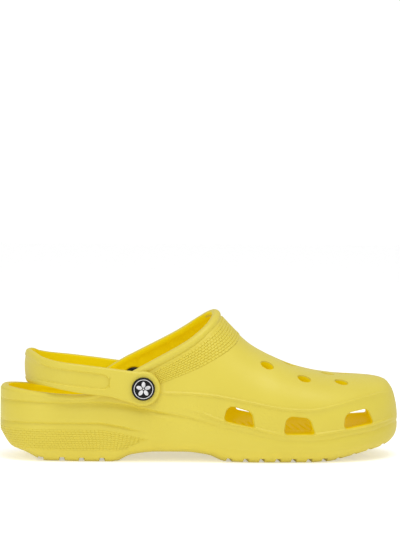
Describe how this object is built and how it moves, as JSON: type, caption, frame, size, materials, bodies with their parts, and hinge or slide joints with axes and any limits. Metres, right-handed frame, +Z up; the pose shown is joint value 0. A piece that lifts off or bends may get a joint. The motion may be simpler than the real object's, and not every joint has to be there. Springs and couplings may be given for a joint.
{
  "type": "garden clog",
  "caption": "Closed-toe foam clog for the right foot, with vent holes, side ports and a heel strap that swings forward on two rivets.",
  "frame": {"origin": "on the ground under the middle of the clog's bounding box", "axes": "+X towards the toe along the clog's length, -Y the outer (lateral) side of the foot, +Z up"},
  "size_m": [0.29, 0.111, 0.1078],
  "materials": {
    "shell_foam": "matt closed-cell foam with a moulded skin",
    "strap_foam": "matt closed-cell foam with a moulded skin",
    "rivet_plastic": "satin moulded plastic",
    "badge_print": "silver print on black"
  },
  "bodies": {
    "shell": {"clog_shell": "shell_foam"},
    "strap": {"heel_strap": "strap_foam"},
    "lateral_rivet": {"lateral_rivet_head": "rivet_plastic", "lateral_rivet_cap": "rivet_plastic", "lateral_rivet_badge": "badge_print"},
    "medial_rivet": {"medial_rivet_head": "rivet_plastic", "medial_rivet_cap": "rivet_plastic", "medial_rivet_badge": "badge_print"}
  },
  "joints": [
    {"name": "strap_pivot", "type": "hinge", "parent": "shell", "child": "strap", "pos_m": [-0.0455, 0, 0.0528], "axis": [0, 1, 0], "range_deg": [0, 134]},
    {"name": "lateral_rivet_spin", "type": "hinge", "parent": "shell", "child": "lateral_rivet", "pos_m": [-0.0455, -0.048, 0.0528], "axis": [0, -1, 0], "continuous": true},
    {"name": "medial_rivet_spin", "type": "hinge", "parent": "shell", "child": "medial_rivet", "pos_m": [-0.0455, 0.048, 0.0528], "axis": [0, 1, 0], "continuous": true}
  ]
}
